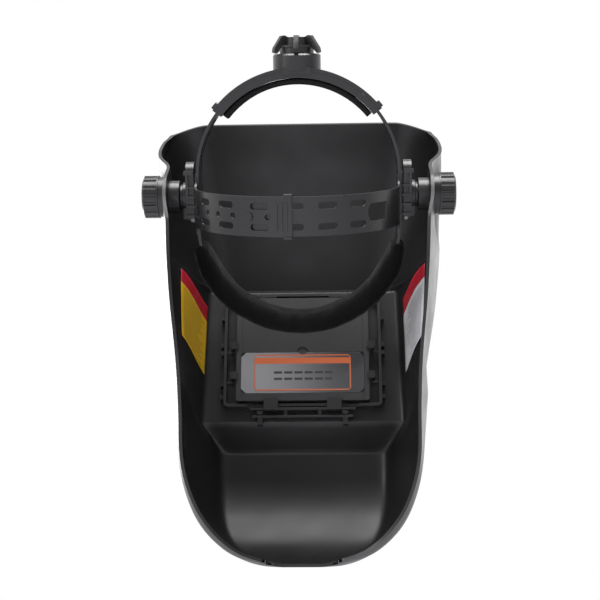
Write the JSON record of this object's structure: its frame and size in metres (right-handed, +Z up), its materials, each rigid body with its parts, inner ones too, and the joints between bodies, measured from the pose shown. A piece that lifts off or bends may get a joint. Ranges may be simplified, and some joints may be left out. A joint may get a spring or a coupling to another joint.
{
  "type": "welding helmet",
  "caption": "Face-covering welding helmet shell with a self-darkening filter cartridge in a frame, hung on a tilting ratchet headgear with crown strap and sweatband.",
  "frame": {"origin": "middle of the pivot axis between the two tension knobs, at the middle of the wearer's head space", "axes": "+X along the pivot axis to the helmet's right seen from behind, +Y forward out of the window, +Z up along the face shield"},
  "size_m": [0.242, 0.2273, 0.3836],
  "materials": {
    "shell_plastic": "satin black moulded nylon with a fine grain",
    "frame_plastic": "satin black",
    "case_plastic": "matt dark grey",
    "gear_plastic": "satin black",
    "knob_plastic": "satin black",
    "white_plastic": "plain",
    "foam": "open-cell foam",
    "sweat_fabric": "brushed felt-like fabric",
    "steel": "zinc plated",
    "brass": "turned",
    "clear_lens": "clear polycarbonate",
    "film": "printed protective film",
    "lcd_glass": "dark green tint",
    "filter_glass": "coated glass",
    "board": "circuit board",
    "solar": "dark blue cell",
    "label_yellow": "printed label, plain lines in place of words",
    "label_white": "printed label, plain lines in place of words"
  },
  "bodies": {
    "headgear": {"headband": "gear_plastic", "side_rail_left": "gear_plastic", "side_rail_right": "gear_plastic", "crown_strap_left": "gear_plastic", "crown_strap_right": "gear_plastic", "strap_stud": "gear_plastic", "sweatband_foam": "foam", "sweatband_cover": "sweat_fabric", "ratchet_base": "gear_plastic", "ratchet_cover": "gear_plastic", "ratchet_pad": "foam", "detent_spring": "steel"},
    "carriers": {"washer_left": "gear_plastic", "washer_right": "gear_plastic", "pivot_bolt_left": "steel", "pivot_bolt_right": "steel", "bracket_left": "gear_plastic", "bracket_right": "gear_plastic", "slider_left": "gear_plastic", "slider_right": "gear_plastic", "bracket_screws": "steel"},
    "shell": {"shell": "shell_plastic", "filter_frame": "frame_plastic", "front_cover_lens": "clear_lens", "cartridge_front_case": "case_plastic", "cartridge_rear_case": "case_plastic", "lcd_shutter": "lcd_glass", "uv_ir_filter": "filter_glass", "circuit_board": "board", "coin_cells": "steel", "solar_cell": "solar", "arc_sensors": "steel", "inner_cover_lens": "clear_lens", "lens_film": "film", "label_left": "label_yellow", "label_right": "label_white", "spacer_left": "gear_plastic", "spacer_right": "gear_plastic"},
    "knob_left": {"knob_left": "knob_plastic", "knob_insert_left": "brass"},
    "knob_right": {"knob_right": "knob_plastic", "knob_insert_right": "brass"},
    "ratchet_knob": {"ratchet_knob": "knob_plastic", "ratchet_pinion": "white_plastic", "ratchet_screw": "steel"},
    "rack_left": {"rack_left": "gear_plastic"},
    "rack_right": {"rack_right": "gear_plastic"},
    "lock_bar": {"lock_bar": "frame_plastic"}
  },
  "joints": [
    {"name": "fore_aft_slide", "type": "slide", "parent": "headgear", "child": "carriers", "axis": [0, 0.5299, -0.848], "range_m": [0, 0.0147]},
    {"name": "shell_tilt", "type": "hinge", "parent": "carriers", "child": "shell", "pos_m": [0, 0, 0], "axis": [1, 0, 0], "range_deg": [-30, 40]},
    {"name": "tension_knob_left_turn", "type": "hinge", "parent": "shell", "child": "knob_left", "pos_m": [-0.11, 0, 0], "axis": [-1, 0, 0], "continuous": true},
    {"name": "tension_knob_right_turn", "type": "hinge", "parent": "shell", "child": "knob_right", "pos_m": [0.11, 0, 0], "axis": [1, 0, 0], "continuous": true},
    {"name": "ratchet_turn", "type": "hinge", "parent": "headgear", "child": "ratchet_knob", "pos_m": [0, -0.05299, 0.08481], "axis": [0, -0.5299, 0.848], "range_deg": [0, 540]},
    {"name": "rack_left_travel", "type": "hinge", "parent": "headgear", "child": "rack_left", "pos_m": [0, -0.00874, 0.01399], "axis": [0, 0.848, 0.5299], "range_deg": [0, 28.39]},
    {"name": "rack_right_travel", "type": "hinge", "parent": "headgear", "child": "rack_right", "pos_m": [0, -0.00874, 0.01399], "axis": [0, -0.848, -0.5299], "range_deg": [0, 28.39]},
    {"name": "lock_bar_slide", "type": "slide", "parent": "shell", "child": "lock_bar", "axis": [0, 0, -1], "range_m": [0, 0.004]}
  ],
  "couplings": [
    {"joint": "rack_left_travel", "follows": "ratchet_turn", "ratio": 0.052572},
    {"joint": "rack_right_travel", "follows": "ratchet_turn", "ratio": 0.052572}
  ]
}
